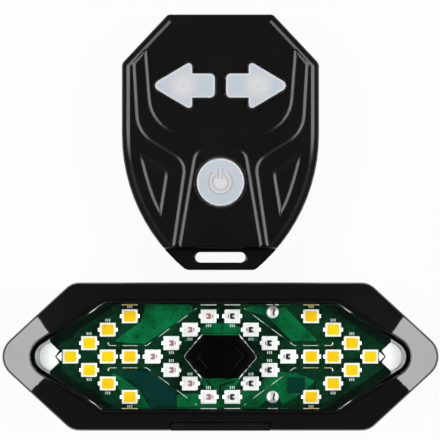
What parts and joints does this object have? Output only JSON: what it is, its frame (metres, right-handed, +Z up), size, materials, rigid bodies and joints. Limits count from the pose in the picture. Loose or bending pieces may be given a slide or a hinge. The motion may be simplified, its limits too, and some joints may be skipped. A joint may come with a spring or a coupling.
{
  "type": "bicycle turn signal light",
  "caption": "Long six-sided rear bicycle light with amber arrow LEDs behind a clear window, seat post cradle and charging cover, with its handlebar remote of arrow and power keys.",
  "frame": {"origin": "on the table, under the middle of the light and the remote as they lie side by side", "axes": "+X along the light's long axis, +Y from the light to the remote, +Z up from the table and out of the fronts"},
  "size_m": [0.096, 0.0918, 0.027],
  "materials": {
    "gloss_black": "polished black plastic",
    "clear_window": "clear polished polycarbonate",
    "key_black": "satin black plastic",
    "switch_black": "moulded black plastic",
    "plunger_red": "moulded red plastic",
    "seal_rubber": "soft black rubber",
    "board_green": "green solder mask over glass laminate",
    "led_white": "moulded white plastic",
    "led_amber": "amber silicone fill",
    "led_red": "dark red die",
    "solder": "bright tin",
    "reflector_white": "moulded white plastic",
    "cell_foil": "aluminium foil pouch",
    "lead_red": "red wire insulation",
    "lead_black": "black wire insulation",
    "socket_steel": "nickel plated steel",
    "cover_rubber": "black silicone rubber",
    "matt_black": "fine textured black plastic",
    "screw_steel": "zinc plated steel",
    "key_silicone": "translucent pale silicone",
    "satin_black": "satin black plastic",
    "contact_brass": "sprung brass"
  },
  "bodies": {
    "light": {"front_bezel": "gloss_black", "lens": "clear_window", "mode_switch": "switch_black", "lens_gasket": "seal_rubber", "light_circuit_board": "board_green", "amber_led_packages": "led_white", "amber_led_emitters": "led_amber", "ring_led_packages": "led_white", "ring_led_dies": "led_red", "led_terminals": "solder", "tip_reflectors": "reflector_white", "solder_joints": "solder", "battery": "cell_foil", "battery_pad": "seal_rubber", "battery_lead_positive": "lead_red", "battery_lead_negative": "lead_black", "usb_socket": "socket_steel", "housing_seal": "seal_rubber", "rear_housing": "matt_black", "housing_screws": "screw_steel", "seatpost_cradle": "matt_black", "cradle_pad": "cover_rubber", "cradle_screws": "screw_steel"},
    "mode_key": {"mode_button": "key_black", "mode_switch_plunger": "plunger_red"},
    "port_cover": {"usb_cover": "cover_rubber"},
    "remote": {"remote_front_cover": "satin_black", "remote_switches": "switch_black", "remote_circuit_board": "board_green", "cell_holder": "switch_black", "cell_contact": "contact_brass", "coin_cell": "socket_steel", "remote_seal": "seal_rubber", "remote_rear_cover": "matt_black", "remote_screws": "screw_steel"},
    "left_key": {"left_arrow_key": "key_silicone", "left_switch_plunger": "plunger_red"},
    "right_key": {"right_arrow_key": "key_silicone", "right_switch_plunger": "plunger_red"},
    "on_key": {"power_key": "key_silicone", "power_switch_plunger": "plunger_red"},
    "cell_door": {"battery_door": "matt_black", "door_seal": "seal_rubber"}
  },
  "joints": [
    {"name": "mode_key_press", "type": "slide", "parent": "light", "child": "mode_key", "axis": [0, 0, -1], "range_m": [0, 0.0006], "stiffness_N_per_m": 800},
    {"name": "port_cover_swing", "type": "hinge", "parent": "light", "child": "port_cover", "pos_m": [0, -0.04495, 0.01487], "axis": [1, 0, 0], "range_deg": [0, 90]},
    {"name": "remote_lift", "type": "slide", "parent": "light", "child": "remote", "axis": [0, 0, 1], "range_m": [0, 0.08]},
    {"name": "left_key_press", "type": "slide", "parent": "remote", "child": "left_key", "axis": [0, 0, -1], "range_m": [0, 0.0006], "stiffness_N_per_m": 800},
    {"name": "right_key_press", "type": "slide", "parent": "remote", "child": "right_key", "axis": [0, 0, -1], "range_m": [0, 0.0006], "stiffness_N_per_m": 800},
    {"name": "on_key_press", "type": "slide", "parent": "remote", "child": "on_key", "axis": [0, 0, -1], "range_m": [0, 0.0006], "stiffness_N_per_m": 800},
    {"name": "cell_door_turn", "type": "hinge", "parent": "remote", "child": "cell_door", "pos_m": [0, 0.02465, 0.001], "axis": [0, 0, 1], "range_deg": [0, 40]}
  ]
}
